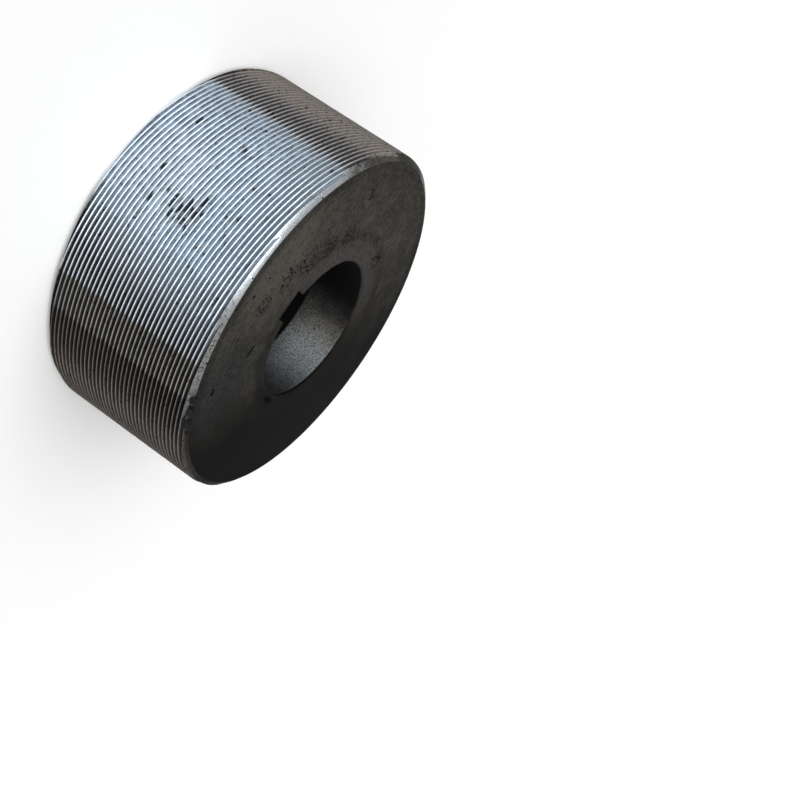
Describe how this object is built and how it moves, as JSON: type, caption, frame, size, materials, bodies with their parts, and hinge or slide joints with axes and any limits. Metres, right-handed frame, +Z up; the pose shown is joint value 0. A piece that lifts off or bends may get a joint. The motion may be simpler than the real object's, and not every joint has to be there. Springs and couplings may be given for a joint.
{
  "type": "thread rolling die",
  "caption": "Cylindrical thread rolling die: a thick steel ring with a left-hand multi-start thread ground around its outside, chamfered edges and a keyed spindle bore.",
  "frame": {"origin": "centre of the lower end face, on the bore axis", "axes": "+Z up the bore axis, out of the other end face; the keyway is on the -Y side of the bore"},
  "size_m": [0.1422, 0.1422, 0.062],
  "materials": {
    "tool_steel": "ground and hardened, worn bright on the thread crests, stained and pitted on the end faces"
  },
  "bodies": {
    "root": {"rolling_die": "tool_steel"}
  },
  "joints": []
}
